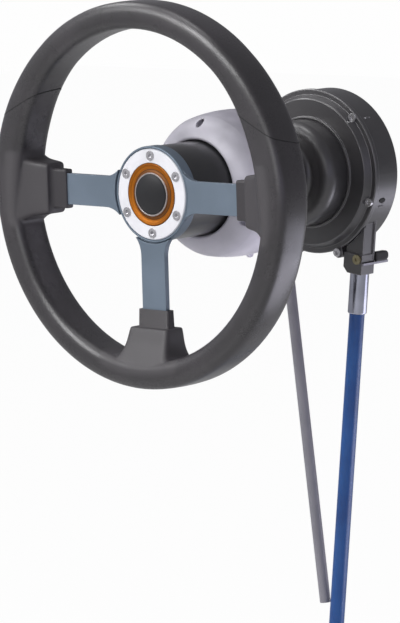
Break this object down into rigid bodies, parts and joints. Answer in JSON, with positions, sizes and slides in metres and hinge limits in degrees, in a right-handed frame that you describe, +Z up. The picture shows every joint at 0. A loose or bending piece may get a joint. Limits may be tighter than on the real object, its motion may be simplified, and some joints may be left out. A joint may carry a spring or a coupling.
{
  "type": "boat cable steering unit",
  "caption": "Boat steering wheel on a dash-mounted rotary helm that drives a push-pull cable with a coiled run and a sliding engine ram",
  "frame": {"origin": "centre of the dash bolt circle on the wheel's axis, in the plane where the mounting plate and bezel meet the dash", "axes": "+Y along the wheel's axis away from the driver into the dash, +Z up, +X to the driver's right"},
  "size_m": [0.6415, 0.3201, 0.8271],
  "materials": {
    "rim_skin": "fine-grained soft moulding",
    "spoke_metal": "satin grey-blue",
    "hoop_steel": "plain",
    "trim_white": "satin, near white",
    "screw_steel": "bright zinc",
    "dish_bronze": "polished",
    "ring_pewter": "satin",
    "cap_black": "glossy",
    "adapter_black": "satin black",
    "shaft_steel": "ground",
    "plate_zinc": "zinc plated",
    "bezel_grey": "silver-grey, satin gloss",
    "cover_black": "semi-gloss black",
    "bearing_plastic": "plain",
    "gasket_dark": "plain",
    "gear_steel": "machined",
    "drum_plastic": "filled nylon",
    "core_steel": "greased wire",
    "ferrule_chrome": "bright",
    "clip_zinc": "bright zinc",
    "grip_black": "moulded",
    "set_screw_buff": "yellow zinc",
    "tube_grey": "smooth",
    "cable_blue": "smooth blue jacket",
    "tie_black": "plain",
    "end_steel": "stainless"
  },
  "bodies": {
    "helm": {"mounting_plate": "plate_zinc", "neck_screws": "screw_steel", "bezel": "bezel_grey", "bezel_screws": "screw_steel", "front_cover": "cover_black", "neck_bearing": "bearing_plastic", "cover_bearing": "bearing_plastic", "cover_gasket": "gasket_dark", "rear_housing": "cover_black", "rear_bush": "bearing_plastic", "housing_screws": "screw_steel", "planet_pins": "shaft_steel", "pin_clips": "gear_steel", "cable_core": "core_steel", "ferrule": "ferrule_chrome", "set_screw": "set_screw_buff", "spent_tube": "tube_grey", "spent_collar": "cover_black", "cable_run": "cable_blue", "cable_coil": "cable_blue", "cable_tail": "cable_blue", "coil_ties": "tie_black", "end_hub": "end_steel", "guide_tube": "end_steel"},
    "wheel": {"spider": "spoke_metal", "rim_hoop": "hoop_steel", "rim_lower_cover": "rim_skin", "rim_top_cover": "rim_skin", "trim_ring": "trim_white", "trim_screws": "screw_steel", "cap_dish": "dish_bronze", "cap_ring": "ring_pewter", "centre_cap": "cap_black", "hub_adapter": "adapter_black", "input_shaft": "shaft_steel", "shaft_key": "shaft_steel", "shaft_washer": "screw_steel", "shaft_nut": "screw_steel"},
    "drum": {"cable_drum": "drum_plastic", "drum_bush": "bearing_plastic"},
    "planet_1": {"planet_gear_1": "gear_steel"},
    "planet_2": {"planet_gear_2": "gear_steel"},
    "planet_3": {"planet_gear_3": "gear_steel"},
    "ram": {"ram": "end_steel"},
    "lock": {"lock_clip": "clip_zinc", "clip_grip": "grip_black"},
    "engine_nut": {"end_nut": "end_steel"}
  },
  "joints": [
    {"name": "wheel_turn", "type": "hinge", "parent": "helm", "child": "wheel", "pos_m": [0, -0.13, 0], "axis": [0, 1, 0], "range_deg": [-595.2, 595.2]},
    {"name": "drum_turn", "type": "hinge", "parent": "helm", "child": "drum", "pos_m": [0, 0.106, 0], "axis": [0, 1, 0], "range_deg": [-119.1, 119.1]},
    {"name": "planet_1_turn", "type": "hinge", "parent": "helm", "child": "planet_1", "pos_m": [0, 0.1115, 0.027], "axis": [0, 1, 0], "range_deg": [-297.7, 297.7]},
    {"name": "planet_2_turn", "type": "hinge", "parent": "helm", "child": "planet_2", "pos_m": [-0.02338, 0.1115, -0.0135], "axis": [0, 1, 0], "range_deg": [-297.7, 297.7]},
    {"name": "planet_3_turn", "type": "hinge", "parent": "helm", "child": "planet_3", "pos_m": [0.02338, 0.1115, -0.0135], "axis": [0, 1, 0], "range_deg": [-297.7, 297.7]},
    {"name": "ram_slide", "type": "slide", "parent": "helm", "child": "ram", "axis": [1, 0, 0], "range_m": [-0.1143, 0.1143]},
    {"name": "lock_pull", "type": "slide", "parent": "helm", "child": "lock", "axis": [0.9936, 0, -0.1132], "range_m": [0, 0.012]},
    {"name": "nut_turn", "type": "hinge", "parent": "helm", "child": "engine_nut", "pos_m": [0.03813, 0.14616, -0.47285], "axis": [1, 0, 0], "continuous": true}
  ],
  "couplings": [
    {"joint": "drum_turn", "follows": "wheel_turn", "ratio": -0.2},
    {"joint": "planet_1_turn", "follows": "wheel_turn", "ratio": -0.5},
    {"joint": "planet_2_turn", "follows": "wheel_turn", "ratio": -0.5},
    {"joint": "planet_3_turn", "follows": "wheel_turn", "ratio": -0.5},
    {"joint": "ram_slide", "follows": "wheel_turn", "m_per_rad": -0.011}
  ]
}
